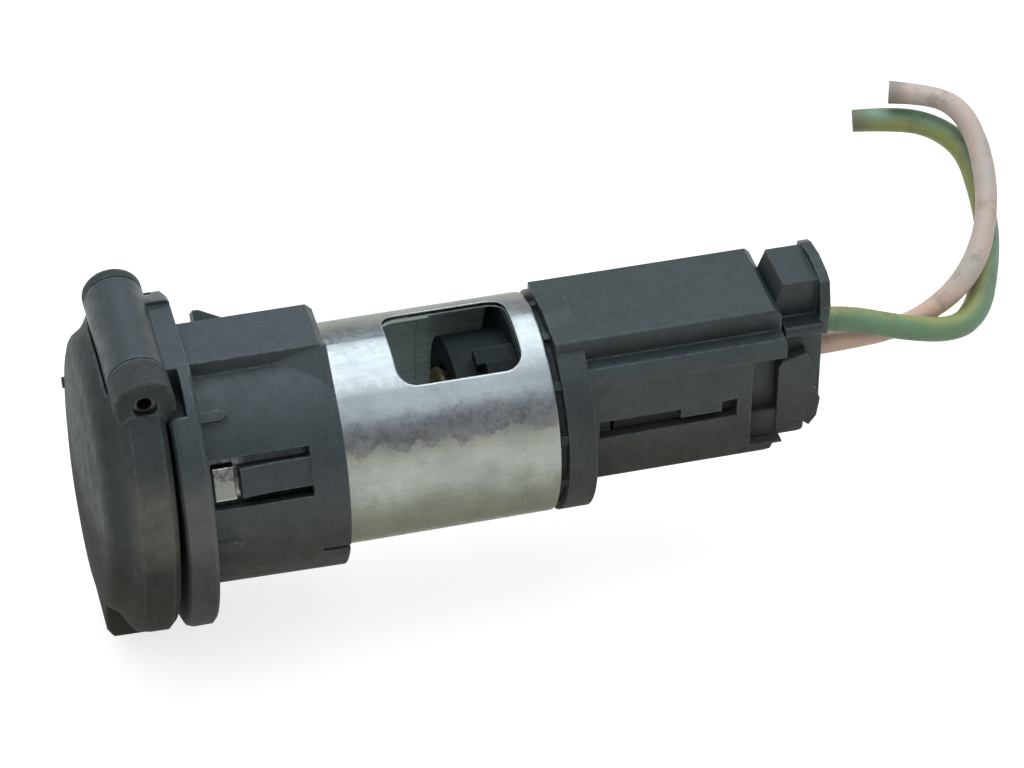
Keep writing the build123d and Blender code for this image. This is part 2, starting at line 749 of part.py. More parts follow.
# Rear housing: disc and stepped connector shroud in one moulding
with BuildPart() as rear_housing:
    with BuildSketch(across(housing_disc_back)):
        Circle(housing_disc_radius)
    extrude(amount=housing_disc_thickness)
    with BuildSketch(across(housing_end)):
        with BuildLine():
            Polyline(
                (0, housing_bottom),
                (housing_half_width - 0.8, housing_bottom),
                (housing_half_width, housing_bottom + 0.8),
                (housing_half_width, ridge_low - 0.3),
                (ridge_half_width, ridge_low),
                (ridge_half_width, ridge_high - 0.6),
                (ridge_half_width - 0.7, ridge_high),
                (housing_top_half_width, ridge_high),
                (housing_top_half_width, housing_top),
                (0, housing_top),
                close=True,
            )
        make_face()
        mirror(about=Plane.YZ)
    extrude(amount=housing_end - housing_front)
    long_top_edges = rear_housing.edges().filter_by(Axis.Y).group_by(Axis.Z)[-1]
    fillet(long_top_edges, radius=0.4)

    # Space for the plug: the main cavity and the keyed channel above it
    with BuildSketch(across(housing_end)):
        with Locations((0, (plug_low + plug_high) / 2)):
            RectangleRounded(
                2 * (plug_half_width + plug_clearance),
                plug_high - plug_low + 2 * plug_clearance,
                0.6,
            )
        with Locations((0, (plug_high + plug_key_high) / 2)):
            Rectangle(
                2 * (plug_key_half_width + plug_clearance),
                plug_key_high - plug_high + 2 * plug_clearance,
            )
    extrude(amount=housing_end - bridge_back, mode=Mode.SUBTRACT)

    # Sloping cuts over and under the rear end, open cheeks at the rear of both sides, and the stepped slots beside them
    with BuildSketch(Plane.YZ):
        with BuildLine():
            Polyline(
                (housing_end - 1.6, housing_bottom),
                (housing_end - 1.0, plug_low),
                (housing_end, plug_low),
                (housing_end, housing_bottom),
                close=True,
            )
        make_face()
        with BuildLine():
            Polyline(
                (housing_end - housing_top_round, housing_top),
                (housing_end, housing_top - housing_top_round),
                (housing_end, housing_top),
                close=True,
            )
        make_face()
    extrude(amount=ridge_half_width, both=True, mode=Mode.SUBTRACT)
    for side in (-1, 1):
        wall_middle = side * (plug_half_width + ridge_half_width) / 2
        wall_span = ridge_half_width - plug_half_width + 1.0
        with BuildSketch(across(housing_end)):
            with Locations((wall_middle, (cheek_low + cheek_high) / 2)):
                Rectangle(wall_span, cheek_high - cheek_low)
        extrude(amount=housing_end - cheek_end, mode=Mode.SUBTRACT)
        slot_plane = Plane(
            origin=(side * (housing_half_width - side_slot_depth), 0, 0),
            x_dir=(0, 1, 0),
            z_dir=(1, 0, 0),
        )
        with BuildSketch(slot_plane):
            with BuildLine():
                Polyline(
                    (side_slot_front, side_slot_low),
                    (side_slot_front, side_slot_high),
                    (side_slot_step, side_slot_high),
                    (side_slot_step, side_slot_high - 1.1),
                    (side_slot_window, side_slot_high - 1.1),
                    (side_slot_window, side_slot_high + 0.2),
                    (side_slot_end, side_slot_high + 0.2),
                    (side_slot_end, side_slot_low + 0.2),
                    close=True,
                )
            make_face()
        extrude(amount=side * (side_slot_depth + 1.0), mode=Mode.SUBTRACT)

    # Front recess over the blade feet, the two blade slots, and the spigot with its spacer ribs
    with BuildSketch(across(housing_front + front_recess_depth)):
        Circle(front_recess_radius)
    extrude(amount=front_recess_depth, mode=Mode.SUBTRACT)
    with BuildSketch(across(bridge_front)):
        with Locations((0, (joggle_low + ground_height) / 2)):
            Rectangle(blade_width + 1.0, ground_height - joggle_low + 2.0)
    extrude(amount=bridge_front - housing_front, mode=Mode.SUBTRACT)
    with BuildSketch(across(bridge_back)):
        with Locations((0, positive_height), (0, ground_height)):
            Rectangle(blade_width, blade_thickness)
    extrude(amount=bridge_thickness, mode=Mode.SUBTRACT)
    with BuildSketch(across(housing_front)):
        Circle(spigot_radius)
        Circle(front_recess_radius, mode=Mode.SUBTRACT)
        with PolarLocations((front_recess_radius + spacer_rib_reach) / 2, spacer_rib_count, start_angle=15):
            Rectangle(spacer_rib_reach - front_recess_radius, spacer_rib_width)
    extrude(amount=rear_gap)

# Harness plug: keyed body, shelf, latch block and finger plate in one moulding
cavity_height = terminal_height + 2 * terminal_clearance
cavity_width = terminal_width + 2 * terminal_clearance
with BuildPart() as plug_housing:
    with BuildSketch(across(cheek_end)):
        with Locations((0, (plug_low + plug_high) / 2)):
            RectangleRounded(2 * plug_half_width, plug_high - plug_low, 0.5)
        with Locations((0, (plug_high + plug_key_high) / 2 - 0.25)):
            Rectangle(2 * plug_key_half_width, plug_key_high - plug_high + 0.5)
    extrude(amount=cheek_end - plug_nose)
    with BuildSketch(across(housing_end)):
        with Locations((0, (shelf_low + plug_key_high) / 2)):
            Rectangle(2 * plug_key_half_width, plug_key_high - shelf_low)
    extrude(amount=housing_end - cheek_end)
    with BuildSketch(across(plug_rear)):
        with Locations((0, (rear_body_low + shelf_low) / 2)):
            Rectangle(2 * rear_body_half_width, shelf_low - rear_body_low)
    extrude(amount=plug_rear - cheek_end)
    with BuildSketch(across(plug_rear)):
        with Locations((0, (shelf_low + shelf_high) / 2)):
            RectangleRounded(2 * shelf_half_width, shelf_high - shelf_low, 0.5)
    extrude(amount=plug_rear - shelf_front)
    with BuildSketch(Plane.YZ):
        with BuildLine():
            Polyline(
                (housing_end, shelf_low),
                (housing_end, plug_key_high),
                (latch_ramp_top, latch_high),
                (top_plate_front, latch_high),
                (top_plate_front, shelf_low),
                close=True,
            )
        make_face()
    extrude(amount=latch_half_width, both=True)
    with BuildSketch(across(top_plate_back)):
        with BuildLine():
            Polyline(*top_plate_half)
            mirror(about=Plane.YZ)
        make_face()
        fillet(vertices().group_by(Axis.Y)[0], radius=0.5)
    extrude(amount=top_plate_back - top_plate_front)
    for height, diameter in ((positive_height, pink_diameter), (ground_height, green_diameter)):
        with BuildSketch(across(top_plate_back)):
            with Locations((0, height)):
                Circle(diameter / 2 + wire_hole_clearance)
        extrude(amount=top_plate_back - terminal_back, mode=Mode.SUBTRACT)
        with BuildSketch(across(terminal_back + terminal_clearance)):
            with Locations((0, height)):
                Rectangle(cavity_width, cavity_height)
        extrude(amount=terminal_back - plug_nose + terminal_clearance, mode=Mode.SUBTRACT)

# Secondary lock: a clip round the lower half of the plug, with a finger pad at its rear
with BuildPart() as terminal_lock:
    with BuildSketch(Plane.YZ):
        with BuildLine():
            Polyline(*[(housing_end + reach, height) for reach, height in lock_side_steps], close=True)
        make_face()
    extrude(amount=lock_half_width, both=True)
    with BuildSketch(across(plug_rear)):
        with Locations((0, (rear_body_low + shelf_low) / 2)):
            Rectangle(2 * rear_body_half_width, shelf_low - rear_body_low)
    extrude(amount=plug_rear - cheek_end, mode=Mode.SUBTRACT)


def make_terminal(height):
    """Receptacle of a crimped terminal whose blade lies at the given height."""
    with BuildPart() as terminal:
        with BuildSketch(across(terminal_back)):
            with Locations((0, height)):
                RectangleRounded(terminal_width, terminal_height, 0.5)
        extrude(amount=terminal_back - terminal_front)
        with BuildSketch(across(blade_tip + 0.5)):
            with Locations((0, height)):
                Rectangle(blade_width + 0.1, blade_thickness + 0.04)
        extrude(amount=blade_tip + 0.5 - terminal_front, mode=Mode.SUBTRACT)
        with BuildSketch(across(wire_start)):
            with Locations((0, height)):
                Circle(crimp_radius)
        extrude(amount=wire_start - terminal_back)
    return terminal.part


positive_terminal = make_terminal(positive_height)
ground_terminal = make_terminal(ground_height)


def make_wire(route, diameter, name):
    """Round wire along straight runs joined by tangent arcs. Prints its bend radii and checks its volume."""
    bends = []
    for before, corner, after in zip(route, route[1:], route[2:]):
        run_in = Vector(*corner) - Vector(*before)
        run_out = Vector(*after) - Vector(*corner)
        half_turn = radians(run_in.get_angle(run_out)) / 2
        bends.append(0.45 * min(run_in.length, run_out.length) / tan(half_turn))
    with BuildPart() as wire:
        with BuildLine() as line:
            FilletPolyline(*route, radius=bends)
        with BuildSketch(Plane(origin=line.wire() @ 0, z_dir=line.wire() % 0)):
            Circle(diameter / 2)
        sweep(path=line.wire(), transition=Transition.ROUND)
    expected = pi * diameter**2 / 4 * line.wire().length
    print(f"{name}: length {line.wire().length:.1f}, volume {wire.part.volume / expected:.4f} of section x length")
    print(f"{name}: bend radii in diameters {[round(radius / diameter, 1) for radius in bends]}")
    return wire.part


green_wire = make_wire(green_route, green_diameter, "green_wire")
pink_wire = make_wire(pink_route, pink_diameter, "pink_wire")

os.makedirs("parts", exist_ok=True)
pieces = {
    "collar": collar.part,
    "lid": lid,
    "hinge_pin": hinge_pin.part,
    "hinge_spring": hinge_spring.part,
    "socket_barrel": socket_barrel.part,
    "inner_insulator": inner_insulator.part,
    "centre_contact": centre_contact.part,
    "centre_rivet": centre_rivet.part,
    "insulating_washer": insulating_washer.part,
    "positive_blade": positive_blade.part,
    "ground_blade": ground_blade.part,
    "ground_rivet": ground_rivet.part,
    "rear_housing": rear_housing.part,
    "plug_housing": plug_housing.part,
    "terminal_lock": terminal_lock.part,
    "positive_terminal": positive_terminal,
    "ground_terminal": ground_terminal,
    "green_wire": green_wire,
    "pink_wire": pink_wire,
}
for name, piece in pieces.items():
    piece.label = name
    export_step(piece, f"parts/{name}.step")
    print(f"{name}: {len(piece.solids())} solid, {piece.volume:.1f} mm3")
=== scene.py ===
import bpy
import numpy as np
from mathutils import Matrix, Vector


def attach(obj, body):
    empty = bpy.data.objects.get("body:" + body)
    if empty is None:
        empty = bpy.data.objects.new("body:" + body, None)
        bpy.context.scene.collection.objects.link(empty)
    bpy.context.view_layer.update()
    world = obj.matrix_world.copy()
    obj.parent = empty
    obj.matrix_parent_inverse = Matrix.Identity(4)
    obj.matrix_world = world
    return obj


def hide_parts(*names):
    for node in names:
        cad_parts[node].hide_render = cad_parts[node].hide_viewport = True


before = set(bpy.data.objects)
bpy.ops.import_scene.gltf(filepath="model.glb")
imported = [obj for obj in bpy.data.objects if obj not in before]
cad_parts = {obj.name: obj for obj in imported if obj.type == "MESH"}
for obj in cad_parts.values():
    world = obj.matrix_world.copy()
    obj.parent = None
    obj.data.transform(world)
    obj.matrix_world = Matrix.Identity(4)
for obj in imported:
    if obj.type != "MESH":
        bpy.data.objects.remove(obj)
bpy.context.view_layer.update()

# Barrel: a cup deep-drawn from mild steel, with a window punched in its side, zinc plated and passivated.
# The drawing leaves fine lines along the axis. The plating has gone dull and has staining in patches. Its
# colour also carries painted reflections of the room and the floor, painted shade on the part under the
# collar's sleeve, and speckled dark marks where the collar's side slot shows it.


def fill(material, socket, value):
    """Puts a plain value into a socket, or links another socket to it."""
    if isinstance(value, bpy.types.NodeSocket):
        material.node_tree.links.new(value, socket)
    else:
        socket.default_value = value


def node(material, kind, settings=None, **inputs):
    """Adds one shader node. Settings are its own properties, and inputs are named as its sockets are."""
    made = material.node_tree.nodes.new("ShaderNode" + kind)
    for key, value in (settings or {}).items():
        setattr(made, key, value)
    for key, value in inputs.items():
        fill(material, made.inputs[key.replace("_", " ")], value)
    return made


def new_finish(name):
    """A material with one Principled shader, and that shader."""
    material = bpy.data.materials.new(name)
    material.use_nodes = True
    return material, material.node_tree.nodes["Principled BSDF"]


def on_object(material, stretch=(1, 1, 1)):
    """Object coordinates, multiplied by a stretch along each axis."""
    place = node(material, "TexCoord").outputs["Object"]
    return node(material, "Mapping", Vector=place, Scale=stretch).outputs["Vector"]


def parts_of(material, coordinates):
    """The X, Y and Z of a kind of texture coordinates."""
    return node(material, "SeparateXYZ", Vector=node(material, "TexCoord").outputs[coordinates]).outputs


def grain(material, place, scale, detail=3.0, roughness=0.55):
    """Noise from 0 to 1 with a scale in cells per metre."""
    made = node(material, "TexNoise", Vector=place, Scale=scale, Detail=detail, Roughness=roughness)
    return made.outputs[0]


def step(material, value, low, high, out_low=0.0, out_high=1.0):
    """Maps a value from low..high to out_low..out_high, clamped, with a smooth start and end."""
    made = node(material, "MapRange", {"interpolation_type": "SMOOTHSTEP"}, Value=value)
    for index, number in ((1, low), (2, high), (3, out_low), (4, out_high)):
        made.inputs[index].default_value = number
    return made.outputs[0]


def reckon(material, operation, *values):
    """Result of one operation on one, two or three values."""
    made = node(material, "Math", {"operation": operation})
    for socket, value in zip(made.inputs, values):
        fill(material, socket, value)
    return made.outputs[0]


def times(material, first, second):
    """Product of two values."""
    return reckon(material, "MULTIPLY", first, second)


def tint(material, amount, first, second, way="MIX"):
    """Blends the second colour over the first one by an amount."""
    made = node(material, "Mix", {"data_type": "RGBA", "blend_type": way})
    for index, value in ((0, amount), (6, first), (7, second)):
        if not isinstance(value, bpy.types.NodeSocket) and index:
            value = (*value, 1.0)
        fill(material, made.inputs[index], value)
    return made.outputs[2]


def layer(material, colour, mask, amount, second, way="MIX"):
    """Lays a second colour over a colour by an amount, where a mask is 1."""
    return tint(material, times(material, mask, amount), colour, second, way)


def shade(colour, part):
    """A colour made darker, or paler with a part above 1."""
    return [part * channel for channel in colour]


def relief(material, height, depth, normal=None):
    """Bump from a height of 0 to 1, with its depth in metres."""
    made = node(material, "Bump", Height=height, Distance=depth, Strength=1.0)
    if normal is not None:
        fill(material, made.inputs["Normal"], normal)
    return made.outputs["Normal"]


def soft_edges(material, radius):
    """Normal of the surface with its edges rounded to a radius, and how much of an edge each place is."""
    rounded = node(material, "Bevel", {"samples": 6}, Radius=radius).outputs["Normal"]
    flat = node(material, "NewGeometry").outputs["Normal"]
    made = node(material, "VectorMath", {"operation": "DOT_PRODUCT"})
    fill(material, made.inputs[0], rounded)
    fill(material, made.inputs[1], flat)
    return rounded, step(material, made.outputs["Value"], 0.998, 0.9)


def around_axis(material):
    """Angle round the long axis in radians, 0 at the top and growing to the right, and distance from it."""
    parts = parts_of(material, "Object")
    angle = reckon(material, "ARCTAN2", parts["X"], parts["Z"])
    flat = node(material, "CombineXYZ", X=parts["X"], Z=parts["Z"]).outputs["Vector"]
    distance = node(material, "VectorMath", {"operation": "LENGTH"}, Vector=flat).outputs["Value"]
    return angle, distance


def paint(name, material):
    """Gives a CAD node its finished material."""
    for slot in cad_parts[name].material_slots:
        slot.material = material


# Where the barrel's marks, painted reflections and painted shade begin and where they are full: angles,
# places along the axis, distances from it.
stain_and_reflection_near, stain_and_reflection_far = (0.76, 0.92), (1.1, 1.07)
painted_reflection_side, painted_shadow_side = (0.9, 1.1), (1.36, 1.8)
sleeve_front, sleeve_end = (0.0036, 0.0044), (0.0143, 0.0137)
front_speckle_side = (1.17, 1.12)
inner_wall = (0.01105, 0.01095)
painted_reflection_tint, painted_shadow_tint = (0.94, 0.97, 0.87), (0.5, 0.47, 0.4)
bare_edge = (0.7, 0.73, 0.7)
plating_glint = (0.6, 0.6, 0.56, 1.0)
inner_metallic, inner_roughness = 0.15, 0.3


def drawn_steel(name, bright, dull, stain_and_reflection_colour, painted_lit_inside, roughness):
    """Zinc-plated drawn steel: bright metal, dull clouds, fine lines along its length and small pits. One
    long brown band on the right of the top, whose edges are torn by noise, is partly staining and partly a
    painted reflection of the dark part of the room. Below it the colour is painted with the greenish tone of
    the floor's reflection, and then darker, a painted reflection of the shadowed floor. The part under the
    sleeve is painted dark, a painted shade. Speckled dark marks cover the part in front of it. The inner wall
    is pale and dull, and its paleness is painted light that falls in through the window."""
    material, shader = new_finish(name)
    shader.inputs["Specular Tint"].default_value = plating_glint
    place = on_object(material)
    drawn = on_object(material, (1, 0.05, 1))
    clouds = step(material, grain(material, place, 190, 5, 0.6), 0.38, 0.68)
    mottle = step(material, grain(material, place, 620, 6, 0.75), 0.4, 0.66)
    pits = step(material, grain(material, place, 4200, 2, 0.5), 0.66, 0.73)
    streaks = step(material, grain(material, drawn, 2600, 3, 0.6), 0.35, 0.7)
    speckles = step(material, grain(material, place, 1500, 6, 0.8), 0.44, 0.56)
    angle, distance = around_axis(material)
    along = parts_of(material, "Object")["Y"]
    wander = step(material, grain(material, place, 330, 6, 0.7), 0.25, 0.75, -0.11, 0.11)
    torn = reckon(material, "ADD", angle, wander)
    # The brown band: partly staining, partly a painted reflection of the dark part of the room, placed by the
    # angle round the axis.
    stain_and_reflection = times(material, step(material, torn, *stain_and_reflection_near), step(material, torn, *stain_and_reflection_far))
    stain_and_reflection = times(material, stain_and_reflection, step(material, mottle, 0.0, 1.0, 0.35, 0.8))
    # Painted reflection: a greenish tone where the metal would mirror the floor.
    painted_floor_reflection = step(material, torn, *painted_reflection_side)
    # Painted shade: the metal darkens towards the bottom, a painted reflection of the floor's shadow.
    lower = step(material, torn, *painted_shadow_side)
    # Painted shade: the barrel is painted dark under the collar's sleeve, where it lies in the collar's
    # shadow.
    painted_sleeve_shade = times(material, step(material, along, *sleeve_front), step(material, along, *sleeve_end))
    # Speckled dark marks in front of the sleeve, where the collar's side slot shows the barrel.
    front_speckles = times(material, step(material, along, *sleeve_front[::-1]), step(material, angle, *front_speckle_side))
    front_speckles = times(material, front_speckles, speckles)
    inner = step(material, distance, *inner_wall)
    rounded, edges = soft_edges(material, 0.00025)
    # Painted light: the inner wall is pale, standing in for the light that falls in through the window.
    painted_lit_inner_colour = layer(material, painted_lit_inside, clouds, 0.4, shade(painted_lit_inside, 0.6))
    painted_lit_inner_colour = layer(material, painted_lit_inner_colour, streaks, 0.4, shade(painted_lit_inside, 0.55))
    colour = tint(material, clouds, bright, dull)
    colour = layer(material, colour, streaks, 0.25, shade(dull, 0.85))
    colour = tint(material, painted_floor_reflection, colour, painted_reflection_tint, "MULTIPLY")
    colour = layer(material, colour, lower, 0.8, painted_shadow_tint, "MULTIPLY")
    colour = tint(material, stain_and_reflection, colour, stain_and_reflection_colour)
    colour = layer(material, colour, pits, 0.35, shade(stain_and_reflection_colour, 0.6))
    colour = layer(material, colour, edges, 0.7, bare_edge)
    colour = layer(material, colour, painted_sleeve_shade, 0.85, shade(dull, 0.12))
    colour = layer(material, colour, front_speckles, 0.8, shade(dull, 0.3))
    fill(material, shader.inputs["Base Color"], tint(material, inner, colour, painted_lit_inner_colour))
    fill(material, shader.inputs["Metallic"], step(material, inner, 0.0, 1.0, 1.0, inner_metallic))
    rough = step(material, grain(material, place, 800, 5, 0.7), 0.3, 0.72, roughness - 0.06, roughness + 0.14)
    rough = reckon(material, "MULTIPLY_ADD", inner, inner_roughness, rough)
    fill(material, shader.inputs["Roughness"], rough)
    waves = relief(material, grain(material, drawn, 300, 2), 0.00003, rounded)
    lines = relief(material, grain(material, drawn, 9000, 2), 0.0000014, waves)
    skin = relief(material, grain(material, place, 2400, 4), 0.000002, lines)
    fill(material, shader.inputs["Normal"], skin)
    return material


plated_steel = drawn_steel(
    "plated_steel",
    bright=(0.35, 0.36, 0.36),
    dull=(0.29, 0.3, 0.3),
    stain_and_reflection_colour=(0.155, 0.14, 0.15),
    painted_lit_inside=(0.86, 0.92, 0.89),
    roughness=0.24,
)
paint("socket_barrel", plated_steel)

# Inner insulator: a dull black moulding that stands on the barrel's floor and carries the centre contact, a
# dished spring plate of brass. Plated rivets hold the contact and the ground blade, and a fibre washer keeps
# the centre rivet off the steel.

# Heights between which the black mouldings take their painted bottom shade and their painted warm bounce
# light, and the edges of the painted warm highlight on the flanks of the flange and the lid: above, below, at
# the rear and at the front.
painted_underside_heights, painted_bounce_heights = (0.0035, -0.0045), (0.009, -0.002)
highlight_above, highlight_below = (0.0105, 0.0065), (-0.001, 0.003)
highlight_rear, highlight_front = (0.0004, -0.0004), (-0.0085, -0.007)
painted_underside_colour, underside_roughness = (0.042, 0.04, 0.035), 0.36
painted_highlight_colour = (0.14, 0.12, 0.096)
painted_bounce_tint = (1.0, 0.92, 0.8)


def moulded_plastic(name, dark, pale, roughness, wear=0.6, edge=0.0003, gloss=0.42, painted_highlight=0.0):
    """Black moulded plastic: fine spark-eroded grain, cloudy shade, dusty specks, scuffs and rubbed edges. It
    is rougher at the bottom, where its colour is a painted warm shade. Further down its colour is warmed by
    painted bounce light from the floor, and a painted warm highlight lies in patches on the flanks at the
    front."""
    material, shader = new_finish(name)
    shader.inputs["Specular IOR Level"].default_value = gloss
    place = on_object(material)
    scraped = on_object(material, (0.22, 1, 1))
    clouds = step(material, grain(material, place, 120, 5, 0.6), 0.34, 0.7)
    mottle = step(material, grain(material, place, 1100, 4, 0.65), 0.36, 0.68)
    fine_mottle = step(material, grain(material, place, 3600, 3, 0.6), 0.42, 0.62)
    specks = step(material, grain(material, place, 5200, 2, 0.4), 0.7, 0.76)
    scuffs = step(material, grain(material, scraped, 1900, 6, 0.78), 0.6, 0.8)
    rubbed = step(material, grain(material, place, 900, 4, 0.7), 0.4, 0.62, 0.25, 1.0)
    highlight_patches = step(material, grain(material, place, 260, 6, 0.75), 0.3, 0.7, 0.4, 1.0)
    parts = parts_of(material, "Object")
    # Painted shade: towards the bottom the colour turns a warm olive, as the floor's bounce light shows
    # shaded faces.
    painted_underside = step(material, parts["Z"], *painted_underside_heights)
    # Painted bounce light: further down the colour is warmed, as light bounced from the floor would warm it.
    painted_warm_bounce = step(material, parts["Z"], *painted_bounce_heights)
    # Painted highlight: a pale warm band in patches on the flanks at the front, where a warm reflection lies.
    painted_flank_highlight = times(material, step(material, parts["Z"], *highlight_above), step(material, parts["Z"], *highlight_below))
    painted_flank_highlight = times(material, painted_flank_highlight, step(material, parts["Y"], *highlight_rear))
    painted_flank_highlight = times(material, painted_flank_highlight, step(material, parts["Y"], *highlight_front))
    painted_flank_highlight = times(material, painted_flank_highlight, highlight_patches)
    rounded, edges = soft_edges(material, edge)
    colour = tint(material, clouds, dark, [0.75 * a + 0.25 * b for a, b in zip(dark, pale)])
    colour = layer(material, colour, mottle, 0.22, pale)
    colour = layer(material, colour, scuffs, 0.3, shade(pale, 1.3))
    colour = layer(material, colour, specks, 0.3, shade(pale, 2.2))
    colour = layer(material, colour, fine_mottle, 0.2, pale)
    colour = layer(material, colour, painted_underside, 0.85, painted_underside_colour)
    colour = layer(material, colour, painted_flank_highlight, painted_highlight, painted_highlight_colour)
    colour = layer(material, colour, painted_warm_bounce, 0.75, painted_bounce_tint, "MULTIPLY")
    colour = layer(material, colour, times(material, edges, rubbed), wear, shade(pale, 2.6))
    fill(material, shader.inputs["Base Color"], colour)
    rough = step(material, grain(material, place, 700, 5, 0.65), 0.3, 0.7, roughness - 0.06, roughness + 0.1)
    rough = reckon(material, "MULTIPLY_ADD", painted_underside, underside_roughness, rough)
    fill(material, shader.inputs["Roughness"], rough)
    fine = relief(material, grain(material, place, 5200, 3), 0.00002, rounded)
    skin = relief(material, grain(material, place, 420, 2), 0.000025, fine)
    fill(material, shader.inputs["Normal"], skin)
    return material


def stamped_metal(name, bright, dull, roughness):
    """Stamped sheet metal with dull patches and bright edges."""
    material, shader = new_finish(name)
    place = on_object(material)
    clouds = step(material, grain(material, place, 500, 4), 0.35, 0.7)
    rounded, edges = soft_edges(material, 0.0001)
    colour = tint(material, clouds, bright, dull)
    colour = layer(material, colour, edges, 0.4, shade(bright, 1.4))
    fill(material, shader.inputs["Base Color"], colour)
    shader.inputs["Metallic"].default_value = 1.0
    rough = step(material, grain(material, place, 1400, 4), 0.3, 0.75, roughness - 0.05, roughness + 0.15)
    fill(material, shader.inputs["Roughness"], rough)
    skin = relief(material, grain(material, place, 4000, 2), 0.000002, rounded)
    fill(material, shader.inputs["Normal"], skin)
    return material


insulator_plastic = moulded_plastic(
    "insulator_plastic", dark=(0.006, 0.009, 0.0105), pale=(0.016, 0.022, 0.025), roughness=0.6, gloss=0.15
)
paint("inner_insulator", insulator_plastic)
contact_brass = stamped_metal(
    "contact_brass", bright=(0.34, 0.27, 0.15), dull=(0.2, 0.16, 0.1), roughness=0.42
)
for name in ("centre_contact", "positive_blade", "ground_blade"):
    paint(name, contact_brass)
rivet_steel = stamped_metal("rivet_steel", bright=(0.5, 0.5, 0.48), dull=(0.36, 0.36, 0.35), roughness=0.32)
for name in ("centre_rivet", "ground_rivet"):
    paint(name, rivet_steel)
washer_fibre = moulded_plastic(
    "washer_fibre", dark=(0.09, 0.035, 0.02), pale=(0.16, 0.08, 0.05), roughness=0.6, wear=0.3
)
paint("insulating_washer", washer_fibre)

# Collar: one moulding of black nylon with the flange, the sleeve, the hinge knuckle and the two catches.
# Its top is smooth from handling, and a painted warm highlight lies in patches on the flanks of its flange.
black_plastic = moulded_plastic(
    "black_plastic", dark=(0.021, 0.027, 0.03), pale=(0.058, 0.069, 0.074), roughness=0.45, painted_highlight=0.55
)
paint("collar", black_plastic)

# Rear housing: the same nylon, moulded as a disc with a stepped shroud that takes the harness plug.
# It closes the barrel's end, and has stayed darker there than the collar, which is handled.
housing_plastic = moulded_plastic(
    "housing_plastic", dark=(0.0135, 0.0175, 0.0185), pale=(0.046, 0.054, 0.056), roughness=0.45
)
paint("rear_housing", housing_plastic)

# Lid: a domed cap of the same nylon, with its two ears on a rolled steel pin and a wound spring between them.
# Its grain is duller, its edges are rubbed round, and a painted warm highlight lies in patches on its skirt.
lid_plastic = moulded_plastic(
    "lid_plastic",
    dark=(0.02, 0.023, 0.0235),
    pale=(0.056, 0.06, 0.058),
    roughness=0.62,
    edge=0.0007,
    gloss=0.28,
    painted_highlight=0.75,
)
paint("lid", lid_plastic)
pin_steel = stamped_metal("pin_steel", bright=(0.13, 0.13, 0.12), dull=(0.07, 0.067, 0.06), roughness=0.5)
paint("hinge_pin", pin_steel)
spring_steel = stamped_metal(
    "spring_steel", bright=(0.36, 0.36, 0.36), dull=(0.24, 0.23, 0.22), roughness=0.34
)
paint("hinge_spring", spring_steel)

# Harness plug: a black keyed body with a latch, a clip round its lower half that locks the terminals, and a
# ribbed skirt moulded under its rear end. The terminals are stamped from tinned brass and folded round the
# blades, and their barrels are crimped on the wires.
plug_plastic = moulded_plastic(
    "plug_plastic", dark=(0.011, 0.0145, 0.0155), pale=(0.044, 0.051, 0.053), roughness=0.42
)
for name in ("plug_housing", "terminal_lock"):
    paint(name, plug_plastic)


def rounded_bar(name, low, high, power, ribs, rib_height):
    """A closed bar with rounded edges and shallow cross ribs, between a low and a high corner in metres.

    It is a superellipsoid. At the angles u from -90 to 90 degrees and v all round, with c(a) the cosine of a
    and s(a) its sine, each raised to a power with its sign kept, x = s(u), y = c(u) c(v) and z = c(u) s(v) of
    the half sizes. The ribs draw y and z in by a cosine of x. The two poles are single points."""
    rows, turns = 49, 64
    u = np.linspace(-0.5 * np.pi, 0.5 * np.pi, rows)[1:-1, None]
    v = np.linspace(0.0, 2.0 * np.pi, turns, endpoint=False)[None, :]
    cos_u, cos_v, sin_v = (np.sign(a) * np.abs(a) ** power for a in (np.cos(u), np.cos(v), np.sin(v)))
    along = np.sign(np.sin(u)) * np.abs(np.sin(u)) ** power + 0.0 * v
    swell = 1.0 - rib_height * (0.5 - 0.5 * np.cos(ribs * np.pi * along))
    ring = np.stack([along, swell * cos_u * cos_v, swell * cos_u * sin_v], axis=-1).reshape(-1, 3)
    points = np.vstack([ring, [[-1.0, 0.0, 0.0], [1.0, 0.0, 0.0]]])
    low, high = np.array(low), np.array(high)
    points = 0.5 * (low + high) + 0.5 * (high - low) * points
    index = np.arange((rows - 2) * turns).reshape(rows - 2, turns)
    right = np.roll(index, -1, axis=1)
    quads = np.stack([index[:-1], right[:-1], right[1:], index[1:]], axis=-1).reshape(-1, 4)
    first, last = np.full(turns, len(ring)), np.full(turns, len(ring) + 1)
    left_fan = np.stack([first, right[0], index[0]], axis=-1)
    right_fan = np.stack([last, index[-1], right[-1]], axis=-1)
    mesh = bpy.data.meshes.new(name)
    mesh.from_pydata(points.tolist(), [], quads.tolist() + left_fan.tolist() + right_fan.tolist())
    mesh.polygons.foreach_set("use_smooth", np.ones(len(mesh.polygons), dtype=bool))
    bar = bpy.data.objects.new(name, mesh)
    bpy.context.collection.objects.link(bar)
    return bar


plug_skirt = rounded_bar(
    "plug_skirt",
    low=(-0.0063, 0.0572, -0.0049),
    high=(0.0063, 0.0645, -0.001),
    power=0.18,
    ribs=8,
    rib_height=0.06,
)
plug_skirt.data.materials.append(plug_plastic)
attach(plug_skirt, "socket")

tinned_brass = stamped_metal(
    "terminal_metal", bright=(0.55, 0.53, 0.46), dull=(0.42, 0.4, 0.35), roughness=0.28
)
for name in ("positive_terminal", "ground_terminal"):
    paint(name, tinned_brass)

# Wires: two cut leads of the car's harness, crimped in the plug. Each is stranded copper in soft insulation,
# one green with a yellow tracer and one pink gone grey with dirt, both keeping the bends of their old run.


